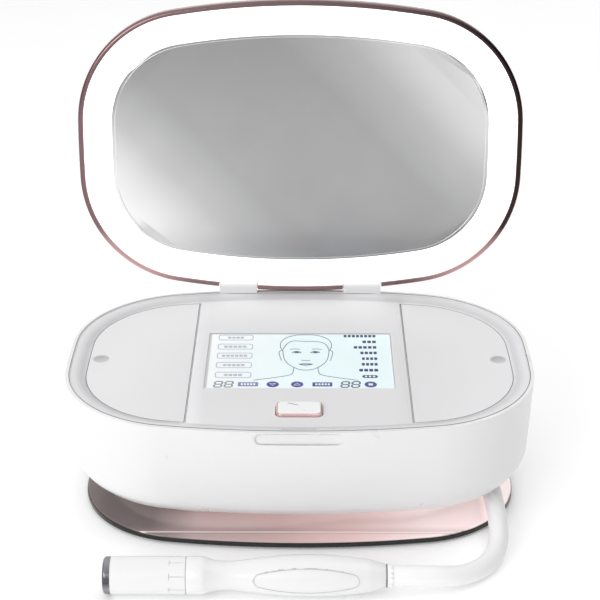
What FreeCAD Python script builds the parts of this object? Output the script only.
import FreeCAD, Part
import math
import os

import Sketcher
from FreeCAD import Placement, Rotation, Vector

# A table-top facial vacuum console: an oval case on a polished stand, a lit mirror lid,
# two covered storage wells, a screen with one key, and a hand wand on a hose that is
# wound round the stand's pedestal. Origin: middle of the foot's underside. Front is -Y.
# Millimetres throughout.

DIMENSIONS = {
    # soft oval outline shared by case, lid and stand
    "case_half_w": 130.0, "case_half_d": 88.7, "long_r": 460.0, "side_r": 780.0, "corner_r": 67.4,
    # stand
    "foot_top": 1.6, "foot_inset": 3.0, "plate_half_w": 121.3, "plate_half_d": 81.7,
    "plate_inset": 8.0, "plate_top": 4.7, "plate_edge_r": 1.3,
    # hose winding round the pedestal
    "hose_r": 5.35, "wound_flat": 51.0, "wound_mid_y": 6.0, "outer_turn_r": 56.0,
    "inner_turn_r": 45.0, "hose_lift": 0.3, "pedestal_r": 39.2, "pedestal_wall": 3.0,
    "outer_turn_end_x": 15.0, "port_x": -45.0, "port_end_x": -16.0, "port_front_y": -44.7,
    "port_pipe_x": -27.0, "port_r": 4.0, "port_pipe_r": 3.0, "port_top": 27.0,
    # case
    "case_bottom": 17.0, "case_top": 76.1, "case_wall": 2.6, "bottom_rise": 11.4,
    "bottom_run": 11.4, "turn_upper_r": 17.0, "turn_lower_r": 17.0, "wall_slope": 0.0437,
    "notch_half_w": 23.0, "notch_low": 68.6, "notch_high": 75.3, "notch_depth": 1.7,
    "notch_r": 2.8,
    "post_x": 50.0, "post_front_y": -46.0, "post_back_y": 46.0, "post_r": 4.5,
    "post_top": 45.0, "screw_r": 1.5, "screw_head_r": 2.8, "fit_gap": 0.05,
    "vent_count": 7.0, "vent_w": 2.0, "vent_pitch": 5.0, "vent_x": 42.0, "vent_low": 40.0,
    "vent_high": 56.0,
    # deck
    "deck_low": 69.8, "deck_high": 75.6, "panel_top": 73.8, "dish_outer_inset": 4.6,
    "dish_inner_inset": 11.3, "cover_x": 59.8, "ledge_top": 71.6, "well_x": 61.6,
    "well_inset": 13.2, "cover_gap": 0.3, "tray_wall": 1.6, "tray_low": 44.0,
    "dimple_x": 112.0, "dimple_r": 4.9, "dimple_depth": 1.1, "cover_pin_r": 0.6,
    "cover_axis_x": 61.1, "cover_axis_z": 72.8, "cover_pin_y": 75.0, "cover_pin_half": 3.0,
    # screen
    "window_half_w": 52.1, "window_front_y": -34.5, "window_back_y": 32.8,
    "window_floor": 72.0, "lens_top": 73.2, "window_ledge": 3.5, "lcd_low": 67.2,
    "light_low": 64.0, "holder_low": 61.6,
    # key
    "key_half_w": 12.4, "key_half_d": 7.3, "key_y": -59.8, "key_r": 3.2, "key_low": 68.6,
    "key_trim_top": 75.2, "key_top": 75.7, "key_cap_inset": 0.9, "key_gap": 0.35,
    "key_flange": 1.2, "key_board_low": 60.8, "key_board_top": 62.4, "switch_half": 3.0,
    "switch_top": 67.3, "plunger_r": 1.7, "dome_r": 5.6, "dome_top_r": 3.5,
    "dome_top": 71.97, "dome_wall": 0.5,
    # electronics
    "board_half_w": 44.0, "board_front_y": -50.0, "board_back_y": 58.0, "board_low": 54.0,
    "board_top": 55.6, "board_hole_x": 40.0, "standoff_r": 2.6,
    # vacuum pump
    "pump_y": 6.0, "pump_z": 37.0, "motor_r": 13.0, "motor_x": -14.0, "motor_end_x": 26.0,
    "head_end_x": 54.0, "grommet_r": 3.6, "grommet_top": 22.2, "bracket_top": 23.8,
    "strap_r": 14.4, "filter_r": 6.5, "filter_x": -8.0, "filter_end_x": 18.0,
    "filter_z": 36.0, "air_r": 3.0,
    # power inlet
    "jack_x": -40.0, "jack_z": 44.0, "jack_r": 4.4, "jack_bore_r": 2.75, "jack_pin_r": 1.0,
    # lid hinge
    "hinge_y": 86.5, "hinge_z": 79.4, "knuckle_r": 2.9, "knuckle_x": 26.2,
    "knuckle_end_x": 48.8, "hinge_pin_r": 1.2, "hinge_pin_x": 15.0, "lid_open_deg": 95.7,
    "hinge_clear": 3.6,
    # lid, drawn shut with its mouth on z = 0 and then swung open
    "lid_half_w": 131.0, "lid_half_d": 88.2, "lid_mid_y": 0.5, "lid_mouth_z": 76.4,
    "rim_w": 3.0, "rim_h": 6.0, "rim_r": 1.8, "shell_h": 17.0, "shell_inset": 0.5,
    "shell_round": 8.5, "shell_wall": 2.2, "glass_inset": 20.0, "glass_low": 0.5,
    "glass_top": 3.3, "diffuser_low": 0.9, "diffuser_top": 2.9, "frame_inset": 16.0,
    "frame_top": 5.3, "led_board_low": 8.6, "led_board_top": 10.0, "led_board_inset": 5.0,
    "led_board_w": 11.0, "led_count": 36.0, "led_h": 1.2, "lid_post_r": 3.5,
    "magnet_r": 4.0, "magnet_h": 2.0, "catch_y": -80.4,
    # wand, drawn along +X and set down on the table in front of the stand
    "wand_y": -121.5, "wand_z": 10.75, "tip_x": -100.6, "ring_x": -96.6, "seam_x": -57.7,
    "shoulder_x": -49.4, "neck_x": -37.5, "bulb_x": 5.8, "cone_x": 36.3, "end_x": 45.3,
    "sleeve_r": 9.8, "neck_r": 7.375, "bulb_r": 10.7, "end_r": 6.0, "shoulder_arc_r": 29.7,
    "neck_arc_r": 61.6, "bore_r": 4.2,
    "spigot_r": 7.0, "spigot_x": -70.0, "seam_gap": 0.3, "tick_x": -66.0, "tick_count": 8.0,
    "tick_w": 0.55, "tick_half": 1.5, "tick_depth": 0.5, "mouth_r": 3.0, "grip_x": 4.0,
    "grip_half_l": 27.0, "grip_half_h": 6.4, "grip_end_r": 3.6, "grip_thick": 1.3,
    "grip_tilt_deg": 15.0, "connector_r": 5.9, "connector_end_x": 48.4,
    "connector_spigot_x": 34.0, "connector_spigot_r": 4.12,
}

HOSE_ROUTE = [
    (48.4, -121.5, 10.75), (66.0, -121.5, 10.75), (84.0, -117.0, 7.2), (98.5, -105.0, 5.5),
    (106.5, -88.0, 5.5), (108.4, -71.0, 8.6), (107.9, -52.0, 10.7), (107.0, -24.0, 10.35),
    (107.0, 6.0, 10.35),
]

doc = FreeCAD.newDocument("facial_vacuum_console")
SUBPARTS = []


# ---------------------------------------------------------------- sizes and the sheet

def make_sheet():
    sheet = doc.addObject("Spreadsheet::Sheet", "Dims")
    for row, (alias, value) in enumerate(DIMENSIONS.items(), start=1):
        sheet.set(f"A{row}", alias)
        sheet.set(f"B{row}", str(value))
        sheet.setAlias(f"B{row}", alias)
    doc.recompute()
    return sheet


class Size:
    """A length worked out from the sheet: its value, and the same sum as an expression."""

    def __init__(self, value, text):
        self.value = value
        self.text = text

    def joined(self, other, sign, value):
        return Size(value, f"({self.text} {sign} {as_size(other).text})")

    def __add__(self, other):
        return self.joined(other, "+", self.value + as_size(other).value)

    def __sub__(self, other):
        return self.joined(other, "-", self.value - as_size(other).value)

    def __mul__(self, other):
        return self.joined(other, "*", self.value * as_size(other).value)

    def __truediv__(self, other):
        return self.joined(other, "/", self.value / as_size(other).value)

    def __neg__(self):
        return Size(-self.value, f"(-1 * {self.text})")


def as_size(number):
    if isinstance(number, Size):
        return number
    return Size(float(number), f"({number})")


class Sizes:
    """Reads each named cell of the sheet as a Size."""

    def __init__(self, sheet):
        for alias in DIMENSIONS:
            setattr(self, alias, Size(float(sheet.get(alias)), f"Dims.{alias}"))


d = Sizes(make_sheet())


def bind(thing, prop, size):
    thing.setExpression(prop, as_size(size).text)


def bind_base(thing, corner, prop="Placement"):
    for letter, size in zip("xyz", corner):
        bind(thing, f"{prop}.Base.{letter}", size)


def subpart(thing, label):
    """Marks a finished shape as a sub-part: its label names its file."""
    thing.Label = label
    SUBPARTS.append(thing)
    return thing


# ---------------------------------------------------------------- primitives, booleans

AXIS_TURN = {
    "x": Rotation(Vector(0, 1, 0), 90),
    "y": Rotation(Vector(1, 0, 0), -90),
    "z": Rotation(),
}


def block(name, low, high):
    box = doc.addObject("Part::Box", name)
    low = [as_size(size) for size in low]
    high = [as_size(size) for size in high]
    for prop, start, end in zip(("Length", "Width", "Height"), low, high):
        bind(box, prop, end - start)
    bind_base(box, low)
    return box


def rod(name, start, radius, length, axis="z"):
    cylinder = doc.addObject("Part::Cylinder", name)
    cylinder.Placement = Placement(Vector(), AXIS_TURN[axis])
    bind(cylinder, "Radius", radius)
    bind(cylinder, "Height", length)
    bind_base(cylinder, start)
    return cylinder


def cone(name, start, radius, end_radius, length, axis="z"):
    shape = doc.addObject("Part::Cone", name)
    shape.Placement = Placement(Vector(), AXIS_TURN[axis])
    bind(shape, "Radius1", radius)
    bind(shape, "Radius2", end_radius)
    bind(shape, "Height", length)
    bind_base(shape, start)
    return shape


def group(name, shapes):
    compound = doc.addObject("Part::Compound", name)
    compound.Links = shapes
    return compound


def fused(name, shapes):
    union = doc.addObject("Part::MultiFuse", name)
    union.Shapes = shapes
    return union


def cut(name, base, tool):
    result = doc.addObject("Part::Cut", name)
    result.Base = base
    result.Tool = tool
    return result


def common(name, base, tool):
    result = doc.addObject("Part::Common", name)
    result.Base = base
    result.Tool = tool
    return result


def rounded(name, base, radius, keep):
    """Rounds the edges of base for which keep(edge) is true."""
    doc.recompute()
    chosen = [index for index, edge in enumerate(base.Shape.Edges, start=1) if keep(edge)]
    fillet = doc.addObject("Part::Fillet", name)
    fillet.Base = base
    fillet.Edges = [(index, radius.value, radius.value) for index in chosen]
    return fillet


def runs_along(axis):
    """Says whether an edge is straight along one axis."""
    def test(edge):
        span = [edge.BoundBox.XLength, edge.BoundBox.YLength, edge.BoundBox.ZLength]
        return span["xyz".index(axis)] > 0.1 and sum(side < 0.01 for side in span) == 2
    return test


def lies_at(height):
    """Says whether an edge lies flat at one height."""
    def test(edge):
        box = edge.BoundBox
        return abs(box.ZMin - height) < 0.01 and abs(box.ZMax - height) < 0.01
    return test


def lies_near(height):
    """Says whether an edge runs round the shape within a millimetre of one height."""
    def test(edge):
        box = edge.BoundBox
        return abs(box.Center.z - height) < 1 and box.ZLength < 1.5 and edge.Length > 5
    return test


# ---------------------------------------------------------------- PartDesign helpers

def new_body(name):
    return doc.addObject("PartDesign::Body", name)


def origin_plane(body, role):
    return next(item for item in body.Origin.OriginFeatures if item.Role == role)


def new_sketch(body, name, role="XY_Plane", height=0.0):
    sketch = body.newObject("Sketcher::SketchObject", name)
    sketch.AttachmentSupport = [(origin_plane(body, role), "")]
    sketch.MapMode = "FlatFace"
    bind(sketch, "AttachmentOffset.Base.z", height)
    return sketch


def arc_between(centre, start, end):
    """A counter-clockwise arc about centre from start to end."""
    circle = Part.Circle(centre, Vector(0, 0, 1), (start - centre).Length)
    first = math.atan2(start.y - centre.y, start.x - centre.x)
    last = math.atan2(end.y - centre.y, end.x - centre.x)
    return Part.ArcOfCircle(circle, first, last if last > first else last + 2 * math.pi)


def mirrored(point, in_x, in_y):
    return Vector(point.x * in_x, point.y * in_y, 0)


def soft_oval(body, name, half_w, half_d, inset, height, mid_y=0.0):
    """Eight tangent arcs: long front and back, flat sides and round corners."""
    long_r = d.long_r - inset
    side_r = d.side_r - inset
    corner_r = d.corner_r - inset
    drop = long_r - half_d
    push = side_r - half_w
    long_centre = Vector(0, -drop.value, 0)
    side_centre = Vector(-push.value, 0, 0)
    corner_centre = meeting_point(long_centre, long_r.value - corner_r.value,
                                  side_centre, side_r.value - corner_r.value)
    side_end = away_from(side_centre, corner_centre, side_r.value)
    long_end = away_from(long_centre, corner_centre, long_r.value)
    right, back, left, front = (1, 1), (-1, 1), (-1, -1), (1, -1)
    arcs = [
        arc_between(side_centre, mirrored(side_end, *front), side_end),
        arc_between(corner_centre, side_end, long_end),
        arc_between(long_centre, long_end, mirrored(long_end, *back)),
        arc_between(mirrored(corner_centre, *back), mirrored(long_end, *back),
                    mirrored(side_end, *back)),
        arc_between(-side_centre, mirrored(side_end, *back), mirrored(side_end, *left)),
        arc_between(mirrored(corner_centre, *left), mirrored(side_end, *left),
                    mirrored(long_end, *left)),
        arc_between(-long_centre, mirrored(long_end, *left), mirrored(long_end, *front)),
        arc_between(mirrored(corner_centre, *front), mirrored(long_end, *front),
                    mirrored(side_end, *front)),
    ]
    sketch = new_sketch(body, name, height=height)
    bind(sketch, "AttachmentOffset.Base.y", mid_y)
    sketch.addGeometry(arcs)
    for index in range(8):
        sketch.addConstraint(Sketcher.Constraint("Tangent", index, 2, (index + 1) % 8, 1))
    for twin, like in ((4, 0), (6, 2), (3, 1), (5, 1), (7, 1)):
        sketch.addConstraint(Sketcher.Constraint("Equal", like, twin))
    sketch.addConstraint(Sketcher.Constraint("PointOnObject", 0, 3, -1))
    sketch.addConstraint(Sketcher.Constraint("PointOnObject", 2, 3, -2))
    sketch.addConstraint(Sketcher.Constraint("Symmetric", 0, 3, 4, 3, -1, 1))
    sketch.addConstraint(Sketcher.Constraint("Symmetric", 2, 3, 6, 3, -1, 1))
    named = [
        ("side_radius", Sketcher.Constraint("Radius", 0, side_r.value), side_r),
        ("long_radius", Sketcher.Constraint("Radius", 2, long_r.value), long_r),
        ("corner_radius", Sketcher.Constraint("Radius", 1, corner_r.value), corner_r),
        ("side_push", Sketcher.Constraint("DistanceX", 0, 3, -1, 1, push.value), push),
        ("long_drop", Sketcher.Constraint("DistanceY", 2, 3, -1, 1, drop.value), drop),
    ]
    drive(sketch, named)
    return sketch


def drive(sketch, named):
    """Adds dimension constraints and binds each to the sheet."""
    for label, constraint, size in named:
        index = sketch.addConstraint(constraint)
        sketch.renameConstraint(index, label)
        bind(sketch, f"Constraints.{label}", size)


def meeting_point(first, first_r, second, second_r):
    """Where two circles cross, on the side away from the origin."""
    span = second - first
    along = (first_r ** 2 - second_r ** 2 + span.Length ** 2) / (2 * span.Length)
    across = math.sqrt(first_r ** 2 - along ** 2)
    unit = span / span.Length
    normal = Vector(-unit.y, unit.x, 0)
    points = [first + unit * along + normal * across * side for side in (1, -1)]
    return max(points, key=lambda point: point.x + point.y)


def away_from(start, through, distance):
    """The point at a distance from start on the line through another point."""
    return start + (through - start) / (through - start).Length * distance


def four_arc_oval(body, name, half_l, half_h, end_r, role, height):
    """A pointed oval of two long arcs and two small end arcs."""
    reach = half_l - end_r
    long_r = (reach * reach + half_h * half_h - end_r * end_r) / ((half_h - end_r) * 2)
    drop = long_r - half_h
    end_centre = Vector(reach.value, 0, 0)
    top_centre = Vector(0, -drop.value, 0)
    join = away_from(top_centre, end_centre, long_r.value)
    arcs = [
        arc_between(end_centre, mirrored(join, 1, -1), join),
        arc_between(top_centre, join, mirrored(join, -1, 1)),
        arc_between(-end_centre, mirrored(join, -1, 1), mirrored(join, -1, -1)),
        arc_between(-top_centre, mirrored(join, -1, -1), mirrored(join, 1, -1)),
    ]
    sketch = new_sketch(body, name, role, height)
    sketch.addGeometry(arcs)
    for index in range(4):
        sketch.addConstraint(Sketcher.Constraint("Tangent", index, 2, (index + 1) % 4, 1))
    sketch.addConstraint(Sketcher.Constraint("Equal", 0, 2))
    sketch.addConstraint(Sketcher.Constraint("Equal", 1, 3))
    sketch.addConstraint(Sketcher.Constraint("PointOnObject", 0, 3, -1))
    sketch.addConstraint(Sketcher.Constraint("PointOnObject", 1, 3, -2))
    sketch.addConstraint(Sketcher.Constraint("PointOnObject", 2, 3, -1))
    drive(sketch, [
        ("end_radius", Sketcher.Constraint("Radius", 0, end_r.value), end_r),
        ("half_length", Sketcher.Constraint("DistanceX", -1, 1, 0, 3, reach.value), reach),
        ("long_radius", Sketcher.Constraint("Radius", 1, long_r.value), long_r),
    ])
    return sketch


def round_rectangle(body, name, half_w, half_d, corner_r, mid_y, height):
    """Four sides with tangent corner arcs, centred at (0, mid_y)."""
    reach_x = half_w - corner_r
    reach_y = half_d - corner_r
    sketch = new_sketch(body, name, height=height)
    bind(sketch, "AttachmentOffset.Base.y", mid_y)
    wide, deep = half_w.value, half_d.value
    in_x, in_y = reach_x.value, reach_y.value
    corners = [Vector(in_x, in_y, 0), Vector(-in_x, in_y, 0),
               Vector(-in_x, -in_y, 0), Vector(in_x, -in_y, 0)]
    starts = [Vector(wide, in_y, 0), Vector(-in_x, deep, 0),
              Vector(-wide, -in_y, 0), Vector(in_x, -deep, 0)]
    ends = [Vector(in_x, deep, 0), Vector(-wide, in_y, 0),
            Vector(-in_x, -deep, 0), Vector(wide, -in_y, 0)]
    edges = []
    for index in range(4):
        edges.append(arc_between(corners[index], starts[index], ends[index]))
        edges.append(Part.LineSegment(ends[index], starts[(index + 1) % 4]))
    sketch.addGeometry(edges)
    for index in range(8):
        sketch.addConstraint(Sketcher.Constraint("Tangent", index, 2, (index + 1) % 8, 1))
    for twin in (2, 4, 6):
        sketch.addConstraint(Sketcher.Constraint("Equal", 0, twin))
    for line, kind in ((1, "Horizontal"), (3, "Vertical"), (5, "Horizontal"), (7, "Vertical")):
        sketch.addConstraint(Sketcher.Constraint(kind, line))
    sketch.addConstraint(Sketcher.Constraint("Symmetric", 0, 3, 4, 3, -1, 1))
    drive(sketch, [
        ("corner_radius", Sketcher.Constraint("Radius", 0, corner_r.value), corner_r),
        ("reach_x", Sketcher.Constraint("DistanceX", -1, 1, 0, 3, in_x), reach_x),
        ("reach_y", Sketcher.Constraint("DistanceY", -1, 1, 0, 3, in_y), reach_y),
    ])
    return sketch


def stadium(body, name, end_r, height):
    """Two half circles joined by straight runs, about the hose winding's centre."""
    sketch = new_sketch(body, name, height=height)
    bind(sketch, "AttachmentOffset.Base.y", d.wound_mid_y)
    flat, radius = d.wound_flat.value, end_r.value
    right, left = Vector(flat, 0, 0), Vector(-flat, 0, 0)
    up = Vector(0, radius, 0)
    sketch.addGeometry([
        arc_between(right, right - up, right + up),
        Part.LineSegment(right + up, left + up),
        arc_between(left, left + up, left - up),
        Part.LineSegment(left - up, right - up),
    ])
    for index in range(4):
        sketch.addConstraint(Sketcher.Constraint("Tangent", index, 2, (index + 1) % 4, 1))
    sketch.addConstraint(Sketcher.Constraint("Equal", 0, 2))
    sketch.addConstraint(Sketcher.Constraint("Horizontal", 1))
    sketch.addConstraint(Sketcher.Constraint("Symmetric", 0, 3, 2, 3, -1, 1))
    drive(sketch, [
        ("end_radius", Sketcher.Constraint("Radius", 0, radius), end_r),
        ("flat", Sketcher.Constraint("DistanceX", -1, 1, 0, 3, flat), d.wound_flat),
    ])
    return sketch


def padded(body, sketch, length, name="Pad"):
    pad = body.newObject("PartDesign::Pad", name)
    pad.Profile = sketch
    bind(pad, "Length", length)
    return pad


def oval_prism(name, half_w, half_d, inset, low, high, mid_y=0.0):
    """A straight-sided block with the soft oval outline."""
    body = new_body(name)
    inset, low, high = as_size(inset), as_size(low), as_size(high)
    sketch = soft_oval(body, f"{name}_outline", half_w - inset, half_d - inset, inset, low,
                       mid_y)
    padded(body, sketch, high - low, f"{name}_pad")
    return body


def case_prism(name, inset, low, high):
    return oval_prism(name, d.case_half_w, d.case_half_d, inset, low, high)


def stadium_prism(name, end_r, low, high):
    body = new_body(name)
    sketch = stadium(body, f"{name}_outline", end_r, low)
    padded(body, sketch, high - low, f"{name}_pad")
    return body


def ruled_skin(name, sections):
    """A body through soft ovals, each given as (height, inset), straight between them."""
    body = new_body(name)
    outlines = []
    for index, (height, inset) in enumerate(sections):
        outlines.append(soft_oval(body, f"{name}_{index}", d.case_half_w - inset,
                                  d.case_half_d - inset, inset, height))
    loft = body.newObject("PartDesign::AdditiveLoft", f"{name}_loft")
    loft.Profile = outlines[0]
    loft.Sections = outlines[1:]
    loft.Ruled = True
    return body


# ---------------------------------------------------------------- tubes along a route

def rounded_route(points):
    """Straight runs joined by tangent arcs, each arc as large as its two runs allow."""
    corners = [Vector(*point) for point in points]
    edges = []
    radii = []
    start = corners[0]
    for before, corner, after in zip(corners, corners[1:], corners[2:]):
        back = before - corner
        ahead = after - corner
        turn = math.pi - back.getAngle(ahead)
        trim = 0.45 * min(back.Length, ahead.Length)
        radius = trim / math.tan(turn / 2)
        radii.append(radius)
        entry = away_from(corner, before, trim)
        leave = away_from(corner, after, trim)
        inward = (back / back.Length + ahead / ahead.Length)
        inward = inward / inward.Length
        centre = corner + inward * math.hypot(radius, trim)
        edges.append(Part.LineSegment(start, entry).toShape())
        edges.append(Part.Arc(entry, centre - inward * radius, leave).toShape())
        start = leave
    edges.append(Part.LineSegment(start, corners[-1]).toShape())
    return Part.Wire(edges), radii


def tube_shape(points, radius):
    wire, radii = rounded_route(points)
    start = Vector(*points[0])
    heading = Vector(*points[1]) - start
    ring = Part.Wire(Part.makeCircle(radius, start, heading))
    shell = wire.makePipeShell([ring], True, True)
    return shell, wire.Length, radii


def routed_tube(label, points, radius):
    """A round solid tube along a route, with its radii and volume reported."""
    shape, length, radii = tube_shape(points, radius.value)
    tube = doc.addObject("Part::Feature", label)
    tube.Shape = shape
    expected = math.pi * radius.value ** 2 * length
    print(f"{label}: length {length:.1f}, radii", [round(value, 1) for value in radii],
          f"volume ratio {shape.Volume / expected:.4f}")
    return tube


# ---------------------------------------------------------------- screws

def screw(name, x, y, head_low, tip, flat_head=False):
    """One screw pointing up, with its head's underside at head_low."""
    head_h = d.screw_r * 1.2
    shank = rod(f"{name}_shank", (x, y, head_low), d.screw_r, tip - head_low)
    if flat_head:
        head = cone(f"{name}_head", (x, y, head_low), d.screw_head_r, d.screw_r, head_h)
    else:
        head = rod(f"{name}_head", (x, y, head_low), d.screw_head_r, head_h)
    return fused(name, [shank, head])


def screws(label, places, head_low, tip, flat_head=False):
    made = [screw(f"{label}_{index}", x, y, head_low, tip, flat_head)
            for index, (x, y) in enumerate(places)]
    return subpart(group(label, made), label)


def screw_holes(name, places, head_low, tip, flat_head=False):
    """Clearance for the same screws: a head pocket and a shank hole at each place."""
    head_h = d.screw_r * 1.2
    head_r = d.screw_head_r + d.fit_gap
    shank_r = d.screw_r + d.fit_gap
    made = []
    for index, (x, y) in enumerate(places):
        shank = rod(f"{name}_{index}_shank", (x, y, head_low), shank_r, tip - head_low)
        if flat_head:
            head = cone(f"{name}_{index}_head", (x, y, head_low), head_r, shank_r, head_h)
        else:
            head = rod(f"{name}_{index}_head", (x, y, head_low), head_r, head_h)
        made.append(fused(f"{name}_{index}", [shank, head]))
    return made


def both_sides(x, *depths):
    return [(side, y) for side in (-x, x) for y in depths]


PLATE_SCREWS = both_sides(d.wound_flat, d.wound_mid_y - 24, d.wound_mid_y + 24)
PEDESTAL_SCREWS = both_sides(d.wound_flat + 14, d.wound_mid_y - 14, d.wound_mid_y + 14)
CASE_SCREWS = both_sides(d.post_x, d.post_front_y, d.post_back_y)
BOARD_SCREWS = both_sides(d.board_hole_x, d.board_front_y + 4, d.board_back_y - 4)


# ---------------------------------------------------------------- stand

def make_stand():
    foot = oval_prism("foot_block", d.plate_half_w + d.plate_inset,
                      d.plate_half_d + d.plate_inset, d.plate_inset + d.foot_inset, 0,
                      d.foot_top)
    subpart(foot, "base_pad")
    blank = oval_prism("plate_block", d.plate_half_w + d.plate_inset,
                       d.plate_half_d + d.plate_inset, d.plate_inset, d.foot_top, d.plate_top)
    soft = rounded("plate_soft", blank, d.plate_edge_r, lies_at(d.plate_top.value))
    holes = group("plate_holes", screw_holes("plate_hole", PLATE_SCREWS, d.foot_top,
                                             d.plate_top + 9, True))
    subpart(cut("stand_plate_cut", soft, holes), "stand_plate")
    screws("plate_screws", PLATE_SCREWS, d.foot_top, d.plate_top + 7, True)


def make_pedestal():
    top = d.case_bottom
    web_low = top - 3
    outer = stadium_prism("pedestal_block", d.pedestal_r, d.plate_top, top)
    inner = stadium_prism("pedestal_room", d.pedestal_r - d.pedestal_wall, d.plate_top - 1,
                          web_low)
    boss = block("port_boss", (d.port_x, d.port_front_y, d.plate_top),
                 (d.port_end_x, d.wound_mid_y - d.pedestal_r + 6, top))
    posts = [rod(f"plate_post_{index}", (x, y, d.plate_top), d.post_r, web_low - d.plate_top)
             for index, (x, y) in enumerate(PLATE_SCREWS)]
    hollow = cut("pedestal_hollow", outer, inner)
    solid = fused("pedestal_solid", [hollow, boss] + posts)
    axis_y = d.wound_mid_y - d.inner_turn_r
    axis_z = d.plate_top + d.hose_lift + d.hose_r
    gap = d.fit_gap
    tools = [
        rod("port_bore", (d.port_x - 1, axis_y, axis_z), d.port_r + gap, 25, "x"),
        rod("port_riser_bore", (d.port_pipe_x, axis_y, axis_z), d.port_pipe_r + gap, 20),
    ]
    tools += [rod(f"plate_pilot_{index}", (x, y, d.plate_top), d.screw_r + gap, 7.5)
              for index, (x, y) in enumerate(PLATE_SCREWS)]
    tools += [rod(f"pedestal_hole_{index}", (x, y, web_low - 1), d.screw_r + gap, 5)
              for index, (x, y) in enumerate(PEDESTAL_SCREWS)]
    subpart(cut("pedestal_cut", solid, group("pedestal_tools", tools)), "pedestal")
    head_h = d.screw_r * 1.2
    screws("pedestal_screws", PEDESTAL_SCREWS, web_low - head_h, top + 6)


def make_hose_port():
    """The pipe that the hose ends on, turned up through the case floor."""
    axis_y = d.wound_mid_y - d.inner_turn_r
    axis_z = d.plate_top + d.hose_lift + d.hose_r
    spigot = rod("port_spigot", (d.port_x, axis_y, axis_z), d.port_r,
                 d.port_pipe_x - d.port_x + 3, "x")
    riser = rod("port_riser", (d.port_pipe_x, axis_y, axis_z), d.port_pipe_r,
                d.port_top - axis_z)
    subpart(fused("hose_port_union", [spigot, riser]), "hose_port")


def make_wound_hose():
    """The outer shape of the hose's turns: a ring with an outer and an inner lane."""
    low = d.plate_top + d.hose_lift
    high = low + d.hose_r * 2
    middle = (d.outer_turn_r + d.inner_turn_r) / 2
    whole = stadium_prism("wound_whole", d.outer_turn_r + d.hose_r, low, high)
    core = stadium_prism("wound_core", d.inner_turn_r - d.hose_r, low - 1, high + 1)
    lanes = stadium_prism("wound_inner_lane", middle, low - 2, high + 2)
    front_right = block("wound_front_right", (d.outer_turn_end_x, -80, low - 1),
                        (130, d.wound_mid_y, high + 1))
    empty_lane = cut("wound_empty_lane", front_right, lanes)
    port_room = block("wound_port_room", (d.port_x, d.port_front_y - 0.3, low - 1),
                      (d.port_end_x + 1, -20, high + 1))
    ring = cut("wound_ring", whole, core)
    open_ring = cut("wound_open", ring, group("wound_tools", [empty_lane, port_room]))
    subpart(open_ring, "hose_wound")


def make_free_hose():
    subpart(routed_tube("hose_free", HOSE_ROUTE, d.hose_r), "hose_free")


# ---------------------------------------------------------------- case

def bowl(name, inset, floor, top):
    """Sloped walls on a flat floor, with a broad flattened turn between the two."""
    wall = ruled_skin(f"{name}_wall", [(top, inset),
                                       (floor, (top - floor) * d.wall_slope + inset)])
    doc.recompute()
    rise = d.bottom_rise - inset
    run = d.bottom_run - inset
    bevel = doc.addObject("Part::Chamfer", f"{name}_bevel")
    bevel.Base = wall
    bevel.Edges = [(index, rise.value, run.value)
                   for index, edge in enumerate(wall.Shape.Edges, start=1)
                   if lies_at(floor.value)(edge)]
    turned_in = rounded(f"{name}_turn", bevel, d.turn_upper_r - inset,
                        lies_near(floor.value + rise.value))
    return rounded(name, turned_in, d.turn_lower_r - inset, lies_at(floor.value))


def make_lower_case():
    floor = d.case_bottom + d.case_wall
    outer = bowl("case_outer", as_size(0), d.case_bottom, d.case_top)
    inner = bowl("case_inner", d.case_wall, floor, d.case_top + 0.01)
    shell = cut("case_shell", outer, inner)
    posts = [rod(f"case_post_{index}", (x, y, floor - 1), d.post_r, d.post_top - floor + 1)
             for index, (x, y) in enumerate(CASE_SCREWS)]
    posts += [rod(f"pedestal_post_{index}", (x, y, floor - 1), d.post_r, 7)
              for index, (x, y) in enumerate(PEDESTAL_SCREWS)]
    posts += [rod(f"standoff_{index}", (x, y, floor - 1), d.standoff_r,
                  d.board_low - floor + 1) for index, (x, y) in enumerate(BOARD_SCREWS)]
    solid = fused("case_solid", [shell] + posts)
    subpart(cut("lower_case_cut", solid, group("case_tools", case_tools())), "lower_case")
    screws("case_screws", CASE_SCREWS, d.case_bottom, d.post_top + 12)


def case_tools():
    """Everything cut from the case: thumb notch, vents, power inlet and screw holes."""
    notch_block = block("notch_block", (-d.notch_half_w, -d.case_half_d - 5, d.notch_low),
                        (d.notch_half_w, -d.case_half_d + d.notch_depth, d.notch_high))
    notch = rounded("thumb_notch", notch_block, d.notch_r, runs_along("y"))
    axis_y = d.wound_mid_y - d.inner_turn_r
    tools = [
        notch,
        rod("riser_hole", (d.port_pipe_x, axis_y, d.case_bottom - 1), d.port_pipe_r + 0.3, 5),
        rod("jack_hole", (d.jack_x, 70, d.jack_z), d.jack_r + 0.1, 30, "y"),
    ]
    for index in range(int(d.vent_count.value)):
        x = d.vent_x + d.vent_pitch * (index - 3)
        tools.append(block(f"vent_{index}", (x, 74, d.vent_low),
                           (x + d.vent_w, 95, d.vent_high)))
    tools += screw_holes("case_hole", CASE_SCREWS, d.case_bottom, d.post_top + 1)
    tools += [rod(f"pedestal_pilot_{index}", (x, y, d.case_bottom - 1),
                  d.screw_r + d.fit_gap, 8) for index, (x, y) in enumerate(PEDESTAL_SCREWS)]
    tools += [rod(f"board_pilot_{index}", (x, y, d.board_low - 9), d.screw_r + d.fit_gap, 10)
              for index, (x, y) in enumerate(BOARD_SCREWS)]
    return tools


# ---------------------------------------------------------------- deck, wells and covers

def side_block(name, side, inner_x, low, high):
    """A tall block on one side of the case, from inner_x outwards."""
    reach = d.case_half_w + 5
    if side > 0:
        return block(name, (inner_x, -100, low), (reach, 100, high))
    return block(name, (-reach, -100, low), (-inner_x, 100, high))


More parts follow.
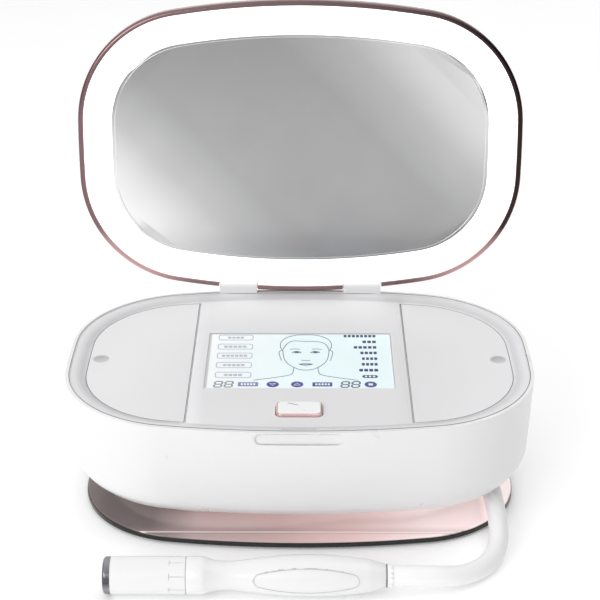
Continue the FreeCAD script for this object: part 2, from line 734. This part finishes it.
def side_lobe(name, side, inset, inner_x, low, high):
    """The end of a soft oval beyond inner_x."""
    oval = case_prism(f"{name}_oval", inset, low, high)
    return common(name, oval, side_block(f"{name}_block", side, inner_x, low - 1, high + 1))


def make_deck():
    reach = d.case_wall + d.fit_gap
    slab = ruled_skin("deck_slab", [
        (d.deck_high, (d.case_top - d.deck_high) * d.wall_slope + reach),
        (d.deck_low, (d.case_top - d.deck_low) * d.wall_slope + reach),
    ])
    dish = ruled_skin("deck_dish", [(d.deck_high + 0.01, d.dish_outer_inset),
                                    (d.panel_top, d.dish_inner_inset)])
    tools = [dish]
    for side, word in ((-1, "left"), (1, "right")):
        tools.append(side_lobe(f"{word}_cover_room", side, d.dish_inner_inset, d.cover_x,
                               d.ledge_top, d.panel_top + 2))
        tools.append(side_lobe(f"{word}_well_room", side, d.well_inset, d.well_x,
                               d.deck_low - 1, d.ledge_top + 1))
        for end in (-1, 1):
            tools.append(rod(f"{word}_pin_hole_{end}", (d.cover_axis_x * side,
                             (d.cover_pin_y - d.cover_pin_half - 0.2) * end, d.cover_axis_z),
                             d.cover_pin_r + d.fit_gap, d.cover_pin_half * 2 + 0.4,
                             "y"))
            tools[-1].Placement = Placement(Vector(), Rotation(Vector(1, 0, 0), -90 * end))
    tools += screen_tools() + key_tools()
    tools.append(block("catch_notch", (-9, -d.case_half_d + d.dish_outer_inset, 74.6),
                       (9, -76, 80)))
    posts = [rod(f"deck_post_{index}", (x, y, d.post_top), d.post_r,
                 d.deck_low - d.post_top + 1) for index, (x, y) in enumerate(CASE_SCREWS)]
    solid = fused("deck_solid", [slab] + posts)
    tools += [rod(f"deck_pilot_{index}", (x, y, d.post_top - 1), d.screw_r + d.fit_gap, 15)
              for index, (x, y) in enumerate(CASE_SCREWS)]
    subpart(cut("top_deck_cut", solid, group("deck_tools", tools)), "top_deck")


def screen_tools():
    """The shallow seat for the screen lens and the window through the deck under it."""
    edge = 0.4
    seat = block("lens_seat", (-d.window_half_w - edge, d.window_front_y - edge,
                               d.window_floor),
                 (d.window_half_w + edge, d.window_back_y + edge, d.panel_top + 1))
    window = block("lcd_window", (-d.window_half_w + d.window_ledge,
                                  d.window_front_y + d.window_ledge, d.deck_low - 1),
                   (d.window_half_w - d.window_ledge, d.window_back_y - d.window_ledge,
                    d.window_floor + 1))
    return [seat, window]


def key_tools():
    """The key's hole, with room below the deck skin for its flange."""
    body = new_body("key_hole")
    sketch = round_rectangle(body, "key_hole_outline", d.key_half_w + d.key_gap,
                             d.key_half_d + d.key_gap, d.key_r + d.key_gap, d.key_y,
                             d.deck_low - 1)
    padded(body, sketch, d.deck_high - d.deck_low + 2, "key_hole_pad")
    flange = d.key_flange + d.key_gap
    room = block("key_flange_room", (-d.key_half_w - flange, d.key_y - d.key_half_d - flange,
                                     d.deck_low - 1),
                 (d.key_half_w + flange, d.key_y + d.key_half_d + flange, d.deck_low + 1))
    return [body, room]


def make_trays():
    for side, word in ((-1, "left"), (1, "right")):
        gap = d.cover_gap
        outer = side_lobe(f"{word}_tray_outer", side, d.well_inset + gap, d.well_x + gap,
                          d.tray_low, d.ledge_top - 0.1)
        inner = side_lobe(f"{word}_tray_inner", side, d.well_inset + gap + d.tray_wall,
                          d.well_x + gap + d.tray_wall, d.tray_low + d.tray_wall,
                          d.ledge_top + 1)
        subpart(cut(f"{word}_tray_cut", outer, inner), f"{word}_tray")


def make_covers():
    """Wing covers: each turns on two pins along its straight edge."""
    for side, word in ((-1, "left"), (1, "right")):
        low = d.ledge_top + 0.2
        gap = d.cover_gap
        blank = side_lobe(f"{word}_cover_blank", side, d.dish_inner_inset + gap,
                          d.cover_x + gap, low, d.panel_top)
        soft = rounded(f"{word}_cover_soft", blank, as_size(0.95), hinge_edge(side))
        dimple_ball_r = (d.dimple_r * d.dimple_r + d.dimple_depth * d.dimple_depth) \
            / (d.dimple_depth * 2)
        ball = doc.addObject("Part::Sphere", f"{word}_dimple")
        bind(ball, "Radius", dimple_ball_r)
        bind_base(ball, (d.dimple_x * side, 0, d.panel_top - d.dimple_depth + dimple_ball_r))
        pins = []
        for end in (-1, 1):
            start_y = (d.cover_pin_y - d.cover_pin_half) * end
            pin = rod(f"{word}_pin_{end}", (d.cover_axis_x * side, start_y, d.cover_axis_z),
                      d.cover_pin_r, d.cover_pin_half * 2, "y")
            pin.Placement = Placement(Vector(), Rotation(Vector(1, 0, 0), -90 * end))
            pins.append(pin)
        pair = group(f"{word}_pins", pins)
        subpart(cut(f"{word}_cover_cut", soft, group(f"{word}_cover_tools", [ball, pair])),
                f"{word}_cover")
        subpart(pair, f"{word}_cover_pins")


def hinge_edge(side):
    """The two long edges beside a cover's hinge line."""
    def test(edge):
        box = edge.BoundBox
        near = abs(abs(box.XMin) - d.cover_x.value - d.cover_gap.value) < 0.05
        return near and box.XLength < 0.01 and box.YLength > 50 and box.XMin * side > 0
    return test


def make_screen():
    glass = block("lens_block", (-d.window_half_w, d.window_front_y, d.window_floor),
                  (d.window_half_w, d.window_back_y, d.lens_top))
    subpart(glass, "screen_lens")
    for label, low, high in (("lcd_module", d.lcd_low, d.deck_low),
                             ("backlight", d.light_low, d.lcd_low)):
        sheet = block(f"{label}_block", (-d.window_half_w + 1, d.window_front_y + 1, low),
                      (d.window_half_w - 1, d.window_back_y - 1, high))
        subpart(sheet, label)
    edge = 1.5
    gap = 0.8
    outer = block("holder_outer", (-d.window_half_w - edge, d.window_front_y - edge,
                                   d.holder_low),
                  (d.window_half_w + edge, d.window_back_y + edge, d.deck_low))
    inner = block("holder_inner", (-d.window_half_w + gap, d.window_front_y + gap,
                                   d.light_low),
                  (d.window_half_w - gap, d.window_back_y - gap, d.deck_low + 1))
    opening = block("holder_opening", (-40, -24, d.holder_low - 1), (40, 22, d.light_low + 1))
    tray = cut("holder_tray", outer, inner)
    subpart(cut("display_holder_cut", tray, opening), "display_holder")


def key_prism(name, inset, low, high):
    body = new_body(name)
    sketch = round_rectangle(body, f"{name}_outline", d.key_half_w - inset,
                             d.key_half_d - inset, d.key_r - inset, d.key_y, low)
    padded(body, sketch, high - low, f"{name}_pad")
    return body


def make_key():
    """The start key: a bright skirt with a white cap let into its top."""
    skirt = key_prism("key_skirt", as_size(0), d.key_low, d.key_trim_top)
    soft = rounded("key_skirt_soft", skirt, as_size(0.5), lies_at(d.key_trim_top.value))
    flange = block("key_flange_block", (-d.key_half_w - d.key_flange,
                                        d.key_y - d.key_half_d - d.key_flange, d.key_low),
                   (d.key_half_w + d.key_flange, d.key_y + d.key_half_d + d.key_flange,
                    d.key_low + 1))
    seat = key_prism("key_cap_seat", d.key_cap_inset, d.key_trim_top - 2, d.key_top + 1)
    room = block("key_room", (-7, d.key_y - 5.6, d.key_low - 1), (7, d.key_y + 5.6, 72))
    boss = rod("key_boss", (0, d.key_y, d.key_low), as_size(2.4), 4)
    hollow = cut("key_hollow", fused("key_with_flange", [soft, flange]),
                 group("key_tools", [seat, room]))
    subpart(fused("key_skirt_union", [hollow, boss]), "start_key_skirt")
    cap = key_prism("key_cap", d.key_cap_inset, d.key_trim_top - 2, d.key_top)
    subpart(rounded("key_cap_soft", cap, as_size(0.45), lies_at(d.key_top.value)),
            "start_key_cap")


def make_key_switch():
    board = block("key_board_block", (-15, d.key_y - 8, d.key_board_low),
                  (15, d.key_y + 8, d.key_board_top))
    subpart(board, "key_board")
    half = d.switch_half
    case = block("switch_case", (-half, d.key_y - half, d.key_board_top),
                 (half, d.key_y + half, d.switch_top - 1.2))
    plunger = rod("switch_plunger", (0, d.key_y, d.switch_top - 1.2), d.plunger_r, 1.2)
    subpart(fused("tact_switch_union", [case, plunger]), "tact_switch")
    slope = (d.dome_r - d.dome_top_r) / (d.dome_top - d.key_board_top)
    skin = cone("dome_skin", (0, d.key_y, d.key_board_top), d.dome_r, d.dome_top_r,
                d.dome_top - d.key_board_top)
    inside = cone("dome_room", (0, d.key_y, d.key_board_top - 1),
                  d.dome_r - d.dome_wall + slope, d.dome_top_r - d.dome_wall - slope,
                  d.dome_top - d.key_board_top + 2)
    subpart(cut("key_dome_cut", skin, inside), "key_dome")


# ---------------------------------------------------------------- electronics and pump

def make_main_board():
    board = block("main_board_block", (-d.board_half_w, d.board_front_y, d.board_low),
                  (d.board_half_w, d.board_back_y, d.board_top))
    holes = [rod(f"board_hole_{index}", (x, y, d.board_low - 1), d.screw_r + 0.1, 4)
             for index, (x, y) in enumerate(BOARD_SCREWS)]
    subpart(cut("main_board_cut", board, group("board_holes", holes)), "main_board")
    top = d.board_top
    parts = [
        block("controller_chip", (-8, -8, top), (8, 8, top + 1.6)),
        block("driver_chip", (18, 10, top), (28, 20, top + 1.6)),
        block("memory_chip", (-28, 12, top), (-20, 20, top + 1.2)),
        block("screen_plug", (-14, 40, top), (14, 46, top + 3)),
        block("power_plug", (-38, 24, top), (-30, 36, top + 4)),
        block("pump_plug", (30, -20, top), (38, -10, top + 4)),
        rod("supply_can", (-22, -22, top), as_size(4), 5),
        rod("pump_can", (22, -26, top), as_size(4), 5),
        rod("buzzer", (0, -34, top), as_size(5), 4),
    ]
    subpart(group("board_components_group", parts), "board_components")
    made = []
    for index, (x, y) in enumerate(BOARD_SCREWS):
        shank = rod(f"board_screw_{index}_shank", (x, y, top - 7), d.screw_r, 8)
        head = rod(f"board_screw_{index}_head", (x, y, top), d.screw_head_r, 1.6)
        made.append(fused(f"board_screw_{index}", [shank, head]))
    subpart(group("board_screws_group", made), "board_screws")


def make_pump():
    motor = rod("motor_can", (d.motor_x, d.pump_y, d.pump_z), d.motor_r,
                d.motor_end_x - d.motor_x, "x")
    nose = rod("motor_nose", (d.motor_x - 3, d.pump_y, d.pump_z), as_size(4), 4, "x")
    subpart(fused("pump_motor_union", [motor, nose]), "pump_motor")
    head = block("pump_head_block", (d.motor_end_x, d.pump_y - 15, d.pump_z - 12),
                 (d.head_end_x, d.pump_y + 15, d.pump_z + 12))
    soft = rounded("pump_head_soft", head, as_size(3), runs_along("x"))
    inlet = rod("pump_inlet", (d.head_end_x - 6, d.pump_y - 23, d.pump_z - 1), as_size(2.5),
                10, "y")
    outlet = rod("pump_outlet", (d.head_end_x - 6, d.pump_y + 14, d.pump_z - 1), as_size(2.5),
                 9, "y")
    subpart(fused("pump_head_union", [soft, inlet, outlet]), "pump_head")
    base = block("bracket_base", (d.motor_x + 6, d.pump_y - 22, d.grommet_top),
                 (d.motor_end_x - 6, d.pump_y + 22, d.bracket_top))
    strap = rod("bracket_strap", (d.motor_x + 12, d.pump_y, d.pump_z), d.strap_r, 16, "x")
    bore = rod("bracket_bore", (d.motor_x + 5, d.pump_y, d.pump_z), d.motor_r + 0.05, 32,
               "x")
    subpart(cut("pump_bracket_cut", fused("bracket_union", [base, strap]), bore),
            "pump_bracket")
    floor = d.case_bottom + d.case_wall
    feet = [rod(f"grommet_{index}", (x, y, floor), d.grommet_r, d.grommet_top - floor)
            for index, (x, y) in enumerate(
                [(x, y) for x in (d.motor_x + 10, d.motor_end_x - 10)
                 for y in (d.pump_y - 18, d.pump_y + 18)])]
    subpart(group("pump_grommets_group", feet), "pump_grommets")


def make_air_line():
    """Hose port to dust filter to pump head."""
    port_y = d.wound_mid_y.value - d.inner_turn_r.value
    pipe_x = d.port_pipe_x.value
    can = rod("filter_can", (d.filter_x, port_y, d.filter_z), d.filter_r,
              d.filter_end_x - d.filter_x, "x")
    noses = [cone("filter_nose", (d.filter_x - 4, port_y, d.filter_z), 3, 5.5, 4, "x"),
             cone("filter_tail", (d.filter_end_x, port_y, d.filter_z), 5.5, 3, 4, "x")]
    subpart(fused("line_filter_union", [can] + noses), "line_filter")
    axis_z = d.filter_z.value
    head_x = d.head_end_x.value - 6
    routes = [
        [(pipe_x, port_y, d.port_top.value), (pipe_x, port_y, axis_z),
         (d.filter_x.value - 4, port_y, axis_z)],
        [(d.filter_end_x.value + 4, port_y, axis_z), (head_x, port_y, axis_z),
         (head_x, d.pump_y.value - 23, axis_z)],
    ]
    tubes = []
    for index, route in enumerate(routes):
        tubes.append(routed_tube(f"air_tube_{index}", route, d.air_r))
    subpart(group("vacuum_tubes_group", tubes), "vacuum_tubes")


def make_power_inlet():
    nose = rod("jack_nose", (d.jack_x, 76, d.jack_z), d.jack_r, 9.5, "y")
    case = block("jack_case", (d.jack_x - 6, 65, d.jack_z - 6), (d.jack_x + 6, 76.5,
                                                                  d.jack_z + 6))
    bore = rod("jack_bore", (d.jack_x, 76.5, d.jack_z), d.jack_bore_r, 12, "y")
    pin = rod("jack_pin", (d.jack_x, 76, d.jack_z), d.jack_pin_r, 8, "y")
    hollow = cut("jack_hollow", fused("jack_union", [nose, case]), bore)
    subpart(fused("power_inlet_union", [hollow, pin]), "power_inlet")


# ---------------------------------------------------------------- lid hinge

def make_hinge():
    knuckles = []
    pins = []
    for side in (-1, 1):
        word = "left" if side < 0 else "right"
        length = d.knuckle_end_x - d.knuckle_x
        start = d.knuckle_x if side > 0 else -d.knuckle_end_x
        barrel = rod(f"{word}_barrel", (start, d.hinge_y, d.hinge_z), d.knuckle_r, length,
                     "x")
        leg = block(f"{word}_leg", (start, d.hinge_y - d.knuckle_r, d.case_top),
                    (start + length, d.hinge_y - 0.5, d.hinge_z))
        bore = rod(f"{word}_bore", (start - 1, d.hinge_y, d.hinge_z),
                   d.hinge_pin_r + d.fit_gap, length + 2, "x")
        knuckles.append(cut(f"{word}_knuckle", fused(f"{word}_knuckle_union", [barrel, leg]),
                            bore))
        reach = d.knuckle_end_x - 1 - d.hinge_pin_x
        pin_start = d.hinge_pin_x if side > 0 else -d.knuckle_end_x + 1
        pins.append(rod(f"{word}_hinge_pin", (pin_start, d.hinge_y, d.hinge_z),
                        d.hinge_pin_r, reach, "x"))
    subpart(group("hinge_knuckles_group", knuckles), "hinge_knuckles")
    subpart(group("hinge_pins_group", pins), "hinge_pins")


# ---------------------------------------------------------------- mirror lid

def open_lid():
    """The lid's place: shut on the case, then swung open about the hinge line."""
    hinge = Vector(0, d.hinge_y.value, d.hinge_z.value)
    shut = Placement(Vector(0, d.lid_mid_y.value, d.lid_mouth_z.value), Rotation())
    swing = Placement(Vector(), Rotation(Vector(1, 0, 0), -d.lid_open_deg.value), hinge)
    return swing.multiply(shut)


def lid_prism(name, inset, low, high):
    return oval_prism(name, d.lid_half_w, d.lid_half_d, inset, low, high)


def placed(thing, label, place):
    """Marks a finished shape as a sub-part that stands at a place of its own."""
    holder = group(f"{label}_placed", [thing])
    holder.Placement = place
    return subpart(holder, label)


def lid_subpart(thing, label):
    return placed(thing, label, open_lid())


def lid_ring(name, outer_inset, inner_inset, low, high):
    outer = lid_prism(f"{name}_outer", outer_inset, low, high)
    inner = lid_prism(f"{name}_inner", inner_inset, low - 1, high + 1)
    return cut(name, outer, inner)


def hinge_notches(tag):
    """Room in the lid's back edge for the two case knuckles."""
    axis_y = d.hinge_y - d.lid_mid_y
    axis_z = d.hinge_z - d.lid_mouth_z
    clear = d.hinge_clear
    made = []
    for side in (-1, 1):
        near, far = d.knuckle_x - 0.5, d.knuckle_end_x + 0.5
        low_x, high_x = (near, far) if side > 0 else (-far, -near)
        made.append(block(f"{tag}_notch_{side}", (low_x, axis_y - clear, -5),
                          (high_x, axis_y + 20, axis_z + clear)))
    return made


def pin_sockets(tag):
    axis_y = d.hinge_y - d.lid_mid_y
    axis_z = d.hinge_z - d.lid_mouth_z
    return rod(f"{tag}_pin_socket", (-d.knuckle_end_x, axis_y, axis_z), d.hinge_pin_r,
               d.knuckle_end_x * 2, "x")


def lid_post_places():
    reach_x = d.lid_half_w - d.frame_inset - 14
    reach_y = d.lid_half_d - d.frame_inset - 14
    return both_sides(reach_x, -reach_y * 0.45, reach_y * 0.45) \
        + [(as_size(0), -reach_y), (as_size(0), reach_y)]


def make_lid_shell():
    blank = lid_prism("shell_block", d.shell_inset, d.rim_h, d.shell_h)
    soft = rounded("shell_soft", blank, d.shell_round, lies_at(d.shell_h.value))
    room = lid_prism("shell_room", d.shell_inset + d.shell_wall, d.rim_h - 1,
                     d.shell_h - d.shell_wall)
    soft_room = rounded("shell_room_soft", room, d.shell_round - d.shell_wall,
                        lies_at(d.shell_h.value - d.shell_wall.value))
    hollow = cut("shell_hollow", soft, soft_room)
    axis_y = d.hinge_y - d.lid_mid_y
    reach = d.knuckle_x - 0.6
    lug = block("hinge_lug", (-reach, axis_y - 4.2, d.diffuser_top + 0.2),
                (reach, axis_y - 1.6, d.rim_h))
    lug_root = block("hinge_lug_root", (-reach, axis_y - 4.2, d.rim_h),
                     (reach, axis_y - 0.5, d.led_board_low - 0.2))
    posts = [rod(f"lid_post_{index}", (x, y, d.frame_top), d.lid_post_r,
                 d.shell_h - d.shell_wall - d.frame_top + 0.5)
             for index, (x, y) in enumerate(lid_post_places())]
    pilots = [rod(f"lid_pilot_{index}", (x, y, d.frame_top - 1), d.screw_r + d.fit_gap, 7)
              for index, (x, y) in enumerate(lid_post_places())]
    solid = fused("shell_solid", [hollow, lug, lug_root] + posts)
    tools = group("shell_tools", hinge_notches("shell") + [pin_sockets("shell")] + pilots)
    lid_subpart(cut("lid_shell_cut", solid, tools), "lid_shell")


def make_lid_rim():
    ring = lid_ring("rim_ring", as_size(0), d.rim_w, as_size(0), d.rim_h)
    soft = rounded("rim_soft", ring, d.rim_r, outer_mouth_edge)
    tools = group("rim_tools", hinge_notches("rim") + [pin_sockets("rim")])
    lid_subpart(cut("lid_rim_cut", soft, tools), "lid_rim")


def outer_mouth_edge(edge):
    """The lid rim's outer edge at its mouth."""
    if not lies_at(0)(edge):
        return False
    inner_w = d.lid_half_w.value - d.rim_w.value
    inner_d = d.lid_half_d.value - d.rim_w.value
    middle = edge.valueAt((edge.FirstParameter + edge.LastParameter) / 2)
    outside = (abs(middle.x) / inner_w) ** 3 + (abs(middle.y) / inner_d) ** 3
    return outside > 1.04


def make_lid_insides():
    gap = 0.15
    diffuser = lid_ring("diffuser_ring", d.rim_w + gap, d.glass_inset - gap, d.diffuser_low,
                        d.diffuser_top)
    notches = group("diffuser_notches", hinge_notches("diffuser"))
    lid_subpart(cut("diffuser_cut", diffuser, notches), "light_diffuser")
    glass = lid_prism("mirror_block", d.glass_inset, d.glass_low, d.glass_top)
    lid_subpart(glass, "mirror_glass")
    frame = lid_prism("frame_block", d.frame_inset, d.glass_top, d.frame_top)
    holes = [rod(f"frame_hole_{index}", (x, y, d.glass_top - 1), d.screw_r + 0.2, 4)
             for index, (x, y) in enumerate(lid_post_places())]
    lid_subpart(cut("mirror_frame_cut", frame, group("frame_holes", holes)), "mirror_frame")
    inner = d.led_board_inset + d.led_board_w
    board = lid_ring("led_board_ring", d.led_board_inset, inner, d.led_board_low,
                     d.led_board_top)
    lid_subpart(board, "led_board")
    made = []
    for index, (x, y) in enumerate(lid_post_places()):
        made.append(rod(f"lid_screw_{index}", (x, y, d.glass_top), d.screw_r, 6))
    lid_subpart(group("lid_screws_group", made), "lid_screws")
    lid_subpart(led_group(), "lid_leds")
    magnet = rod("lid_magnet_disc", (0, d.catch_y - d.lid_mid_y, d.diffuser_top + 0.1),
                 d.magnet_r, d.magnet_h)
    lid_subpart(magnet, "lid_magnet")
    deck_magnet = rod("deck_magnet_disc", (0, d.catch_y, d.deck_low - d.magnet_h),
                      d.magnet_r, d.magnet_h)
    subpart(deck_magnet, "deck_magnet")


def led_group():
    """Small lamps spaced round the lid, on the board's underside."""
    middle = d.led_board_inset.value + d.led_board_w.value / 2
    half_w = d.lid_half_w.value - middle
    half_d = d.lid_half_d.value - middle
    count = int(d.led_count.value)
    power = 2 / 2.94
    lamps = []
    for index in range(count):
        angle = 2 * math.pi * (index + 0.5) / count
        x = half_w * math.copysign(abs(math.cos(angle)) ** power, math.cos(angle))
        y = half_d * math.copysign(abs(math.sin(angle)) ** power, math.sin(angle))
        lamps.append(block(f"lamp_{index}", (x - 1.7, y - 1.4, d.led_board_low - d.led_h),
                           (x + 1.7, y + 1.4, d.led_board_low)))
    return group("lid_leds_group", lamps)


# ---------------------------------------------------------------- wand

def wand_place():
    return Placement(Vector(0, d.wand_y.value, d.wand_z.value), Rotation())


def wand_subpart(thing, label):
    return placed(thing, label, wand_place())


def turned(name, edges):
    """A body turned about the X axis from a closed half profile in the XZ plane."""
    body = new_body(name)
    sketch = new_sketch(body, f"{name}_profile", "XZ_Plane")
    sketch.addGeometry(edges)
    for index in range(len(edges)):
        sketch.addConstraint(Sketcher.Constraint("Block", index))
    revolution = body.newObject("PartDesign::Revolution", f"{name}_turn")
    revolution.Profile = sketch
    revolution.ReferenceAxis = (sketch, ["H_Axis"])
    revolution.Angle = 360
    return body


def line(first, second):
    return Part.LineSegment(Vector(first[0], first[1], 0), Vector(second[0], second[1], 0))


def height_on(centre, radius, x, above):
    """The height at x of the upper or lower half of a circle."""
    side = 1 if above else -1
    return centre.y + side * math.sqrt(radius ** 2 - (x - centre.x) ** 2)


def arc_at(centre, radius, start_x, end_x, above):
    """An arc of a profile between two X positions, above or below its centre."""
    start = Vector(start_x, height_on(centre, radius, start_x, above), 0)
    end = Vector(end_x, height_on(centre, radius, end_x, above), 0)
    return arc_between(centre, end, start) if above else arc_between(centre, start, end)


def handle_profile(inner_r, skin):
    """The waist, the bulb and the tail, skin inside the outer surface."""
    neck_x, bulb_x = d.neck_x.value, d.bulb_x.value
    seam_x, end_x = d.seam_x.value, d.end_x.value
    shoulder_x, cone_x = d.shoulder_x.value, d.cone_x.value
    shoulder_r = d.shoulder_arc_r.value + skin
    waist_r = d.neck_arc_r.value + skin
    neck = d.neck_r.value - skin
    reach = bulb_x - neck_x
    rise = d.bulb_r.value - d.neck_r.value
    both_r = (reach ** 2 + rise ** 2) / (2 * rise)
    belly_r = both_r - waist_r
    shoulder_at = Vector(neck_x, neck + shoulder_r, 0)
    waist_at = Vector(neck_x, neck + waist_r, 0)
    belly_at = Vector(bulb_x, d.bulb_r.value - skin - belly_r, 0)
    join_x = neck_x + reach * waist_r / both_r
    sleeve_r = height_on(shoulder_at, shoulder_r, shoulder_x, False)
    cone_r = height_on(belly_at, belly_r, cone_x, True)
    tail_r = d.end_r.value - skin
    return [
        line((seam_x, sleeve_r), (shoulder_x, sleeve_r)),
        arc_at(shoulder_at, shoulder_r, shoulder_x, neck_x, False),
        arc_at(waist_at, waist_r, neck_x, join_x, False),
        arc_at(belly_at, belly_r, join_x, cone_x, True),
        line((cone_x, cone_r), (end_x - 1, tail_r + 0.3)),
        line((end_x - 1, tail_r + 0.3), (end_x, tail_r - 0.5)),
        line((end_x, tail_r - 0.5), (end_x, inner_r)),
        line((end_x, inner_r), (seam_x, inner_r)),
        line((seam_x, inner_r), (seam_x, sleeve_r)),
    ]


def make_handle():
    shell = turned("handle_turned", handle_profile(d.bore_r.value, 0.0))
    spigot = rod("handle_spigot", (d.spigot_x, 0, 0), d.spigot_r, d.seam_x - d.spigot_x + 2,
                 "x")
    bore = rod("handle_bore", (d.spigot_x - 1, 0, 0), d.bore_r, 30, "x")
    solid = cut("handle_bored", fused("handle_union", [shell, spigot]), bore)
    skin_core = turned("handle_core", handle_profile(d.bore_r.value - 1,
                                                     d.grip_thick.value))
    grips = []
    for side in (-1, 1):
        prism_body = new_body(f"grip_prism_{side}")
        sketch = four_arc_oval(prism_body, f"grip_outline_{side}", d.grip_half_l,
                               d.grip_half_h, d.grip_end_r, "XY_Plane", 2)
        padded(prism_body, sketch, as_size(14), f"grip_pad_{side}")
        tilt = 90 - d.grip_tilt_deg.value if side < 0 else -90 - d.grip_tilt_deg.value
        prism_body.Placement = Placement(Vector(d.grip_x.value, 0, 0),
                                         Rotation(Vector(1, 0, 0), tilt))
        grips.append(prism_body)
    prisms = group("grip_prisms", grips)
    pads = cut("grip_pads_raw", common("grip_common", shell, prisms), skin_core)
    wand_subpart(cut("handle_shell_cut", solid, pads), "handle_shell")
    wand_subpart(pads, "grip_inlays")


def make_air_pipe():
    """The liner that carries the air through the handle."""
    outer_r = d.bore_r - 0.02
    pipe = rod("air_pipe_outer", (d.spigot_x + 4, 0, 0), outer_r,
               d.connector_spigot_x - d.spigot_x - 6, "x")
    bore = rod("air_pipe_bore", (d.spigot_x, 0, 0), outer_r - 0.9, 120, "x")
    wand_subpart(cut("air_pipe_cut", pipe, bore), "air_pipe")


def make_tip_sleeve():
    """The twist-off head: a tube with index marks cut into its rear end."""
    rear_x = d.seam_x - d.seam_gap
    sleeve = rod("sleeve_tube", (d.ring_x, 0, 0), d.sleeve_r, rear_x - d.ring_x, "x")
    socket_r = d.spigot_r + 0.06
    socket = rod("sleeve_socket", (d.spigot_x - 1.6, 0, 0), socket_r,
                 rear_x - d.spigot_x + 3, "x")
    passage = rod("sleeve_passage", (d.ring_x - 1, 0, 0), d.bore_r, 40, "x")
    pocket = rod("filter_pocket", (d.ring_x + 14, 0, 0), as_size(6), 6, "x")
    marks = []
    count = int(d.tick_count.value)
    for index in range(count):
        turn = Rotation(Vector(1, 0, 0), 360.0 * (index + 0.35) / count)
        for tag, low_x, high_x, half in (
                ("stem", d.tick_x, rear_x - 0.8, d.tick_w / 2),
                ("bar", d.tick_x - d.tick_w, d.tick_x, d.tick_half)):
            mark = doc.addObject("Part::Box", f"mark_{tag}_{index}")
            bind(mark, "Length", high_x - low_x)
            bind(mark, "Width", half * 2)
            bind(mark, "Height", as_size(3))
            corner = Vector(low_x.value, -half.value, d.sleeve_r.value - d.tick_depth.value)
            mark.Placement = Placement(turn.multVec(corner), turn)
            marks.append(mark)
    tools = group("sleeve_tools", [socket, passage, pocket] + marks)
    wand_subpart(cut("tip_sleeve_cut", sleeve, tools), "tip_sleeve")
    felt = rod("felt_disc", (d.ring_x + 14.2, 0, 0), as_size(5.9), 5.6, "x")
    wand_subpart(felt, "tip_filter")
    washer = rod("seal_outer", (d.spigot_x - 1.5, 0, 0), as_size(6.6), 1.4, "x")
    hole = rod("seal_hole", (d.spigot_x - 3, 0, 0), d.bore_r + 0.3, 5, "x")
    wand_subpart(cut("tip_seal_cut", washer, hole), "tip_seal")


def make_tip_ring():
    ring = rod("ring_blank", (d.tip_x, 0, 0), d.sleeve_r - 0.1, d.ring_x - d.tip_x, "x")
    soft = rounded("ring_soft", ring, as_size(1.6), front_rim)
    recess = rod("ring_recess", (d.tip_x - 1, 0, 0), as_size(7.2), 1.5, "x")
    mouth = rod("ring_mouth", (d.tip_x - 1, 0, 0), d.mouth_r, 8, "x")
    wand_subpart(cut("tip_ring_cut", soft, group("ring_tools", [recess, mouth])), "tip_ring")
    disc = rod("abrasive_outer", (d.tip_x + 0.1, 0, 0), as_size(7.15), 0.4, "x")
    hole = rod("abrasive_hole", (d.tip_x - 1, 0, 0), d.mouth_r + 0.2, 4, "x")
    wand_subpart(cut("abrasive_disc_cut", disc, hole), "abrasive_disc")


def front_rim(edge):
    box = edge.BoundBox
    return abs(box.XMin - d.tip_x.value) < 0.01 and abs(box.XMax - d.tip_x.value) < 0.01


def make_connector():
    """The hose end: a collar against the wand's tail and a spigot in its bore."""
    collar = rod("connector_collar", (d.end_x + 0.1, 0, 0), d.connector_r,
                 d.connector_end_x - d.end_x - 0.1, "x")
    spigot = rod("connector_spigot", (d.connector_spigot_x, 0, 0), d.connector_spigot_r,
                 d.end_x - d.connector_spigot_x + 1, "x")
    bore = rod("connector_bore", (d.connector_spigot_x - 1, 0, 0), as_size(2.6), 12, "x")
    wand_subpart(cut("hose_connector_cut", fused("connector_union", [collar, spigot]), bore),
                 "hose_connector")


# ---------------------------------------------------------------- build, test and write

def build():
    make_stand()
    make_pedestal()
    make_hose_port()
    make_wound_hose()
    make_free_hose()
    make_lower_case()
    make_deck()
    make_trays()
    make_covers()
    make_screen()
    make_key()
    make_key_switch()
    make_main_board()
    make_pump()
    make_air_line()
    make_power_inlet()
    make_hinge()
    make_lid_shell()
    make_lid_rim()
    make_lid_insides()
    make_handle()
    make_air_pipe()
    make_tip_sleeve()
    make_tip_ring()
    make_connector()
    doc.recompute()


def test():
    for thing in doc.Objects:
        if "Invalid" in thing.State or "Error" in thing.State:
            raise RuntimeError(f"{thing.Name} failed: {thing.State}")
    for thing in SUBPARTS:
        shape = thing.Shape
        if shape.isNull() or not shape.isValid() or not shape.Solids:
            raise RuntimeError(f"{thing.Label} has no valid solid")


def write():
    os.makedirs("parts", exist_ok=True)
    for thing in SUBPARTS:
        thing.Shape.exportStep(f"parts/{thing.Label}.step")
        print(f"{thing.Label}: {len(thing.Shape.Solids)} solid(s), "
              f"{thing.Shape.Volume / 1000:.2f} cm3")


build()
test()
write()
